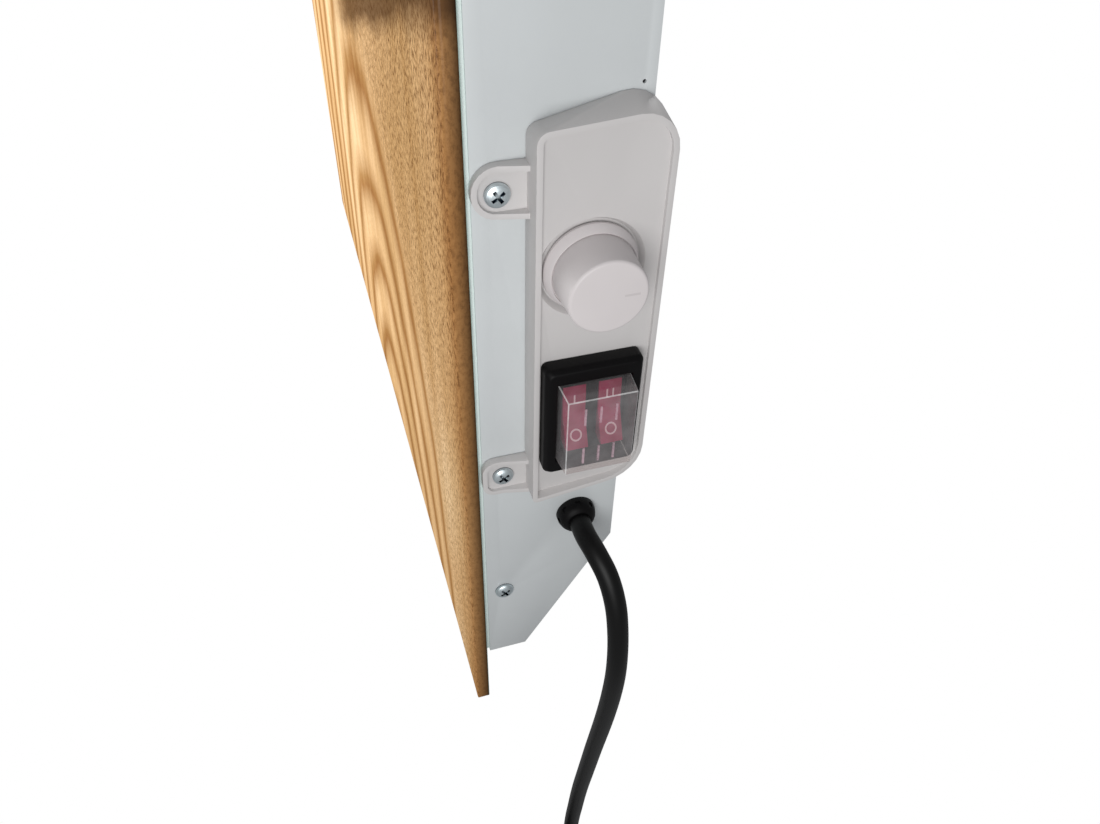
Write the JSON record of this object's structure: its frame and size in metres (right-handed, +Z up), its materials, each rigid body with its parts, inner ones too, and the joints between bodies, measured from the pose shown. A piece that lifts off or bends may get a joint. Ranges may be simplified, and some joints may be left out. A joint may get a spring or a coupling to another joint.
{
  "type": "heated towel rail",
  "caption": "Flat glass-fronted electric towel warmer on a folded steel casing, with a side control box, knob, double rocker switch under a clear cap, supply cord and towel rails.",
  "frame": {"origin": "middle of the wall bracket's four fixing holes, on the wall plane", "axes": "+Z up, +Y into the wall, +X to the right as seen from the room, towards the control box"},
  "size_m": [0.5477, 0.1443, 1.0311],
  "materials": {
    "decor_glass": "back-printed toughened glass with a wood decor",
    "foam_tape": "closed-cell foam tape",
    "galvanised_steel": "galvanised sheet",
    "heater_film": "carbon film",
    "copper": "bare copper",
    "aluminium_foil": "bright foil",
    "insulation": "mineral wool board",
    "white_coating": "white powder coating",
    "zinc_steel": "bright zinc plating",
    "bracket_steel": "grey powder coating",
    "box_plastic": "warm grey-white moulded plastic",
    "knob_plastic": "satin white plastic",
    "black_plastic": "fine matt",
    "rocker_plastic": "translucent red-pink",
    "clear_plastic": "clear soft plastic",
    "stat_plastic": "phenolic moulding",
    "lamp_glass": "neon lamp glass",
    "black_rubber": "cord sheath",
    "grey_rubber": "moulded rubber",
    "core_brown": "wire insulation",
    "core_blue": "wire insulation",
    "core_green": "wire insulation",
    "block_plastic": "nylon",
    "nickel": "nickel plating",
    "rail_steel": "polished stainless steel"
  },
  "bodies": {
    "panel": {"glass_panel": "decor_glass", "glass_tape": "foam_tape", "frame_rail_right": "galvanised_steel", "frame_rail_left": "galvanised_steel", "heating_mat": "heater_film", "busbars": "copper", "reflector_sheet": "aluminium_foil", "insulation_board": "insulation", "board_straps": "galvanised_steel", "rear_casing": "white_coating", "side_plate_right": "white_coating", "side_plate_left": "white_coating", "casing_rivets": "zinc_steel", "wall_bracket": "bracket_steel", "wall_spacers": "grey_rubber", "side_screws": "zinc_steel", "lug_screws": "zinc_steel", "control_housing": "box_plastic", "thermostat_body": "stat_plastic", "thermostat_nut": "zinc_steel", "switch_frame": "black_plastic", "switch_body": "black_plastic", "switch_terminals": "nickel", "neon_lamps": "lamp_glass", "splash_cap": "clear_plastic", "cord_gland": "black_plastic", "gland_nut": "black_plastic", "cord_inner_end": "black_rubber", "cord_cores": "core_brown", "terminal_block": "block_plastic", "earth_screw": "nickel", "thermal_cutout": "stat_plastic", "wire_live": "core_brown", "wire_switched": "core_brown", "wire_earth": "core_green", "heater_lead_live": "core_brown", "heater_lead_neutral": "core_blue", "supply_cord": "black_rubber", "cord_coil": "black_rubber", "cord_tie": "black_plastic", "plug_body": "black_plastic", "plug_pins": "nickel", "plug_earth": "nickel", "towel_rail_upper": "rail_steel", "towel_rail_lower": "rail_steel", "rail_end_caps": "rail_steel", "rail_posts": "rail_steel", "rail_gaskets": "grey_rubber", "rail_sleeves": "block_plastic", "rail_washers": "zinc_steel", "rail_bolts": "zinc_steel"},
    "knob_body": {"knob": "knob_plastic", "thermostat_shaft": "zinc_steel"},
    "rocker_left_body": {"rocker_left": "rocker_plastic"},
    "rocker_right_body": {"rocker_right": "rocker_plastic"}
  },
  "joints": [
    {"name": "knob_turn", "type": "hinge", "parent": "panel", "child": "knob_body", "pos_m": [0.275, -0.035, -0.306], "axis": [1, 0, 0], "range_deg": [-45, 225]},
    {"name": "rocker_left_tilt", "type": "hinge", "parent": "panel", "child": "rocker_left_body", "pos_m": [0.2565, -0.04005, -0.3638], "axis": [0, 1, 0], "range_deg": [0, 26]},
    {"name": "rocker_right_tilt", "type": "hinge", "parent": "panel", "child": "rocker_right_body", "pos_m": [0.2565, -0.02715, -0.3638], "axis": [0, 1, 0], "range_deg": [0, 26]}
  ]
}
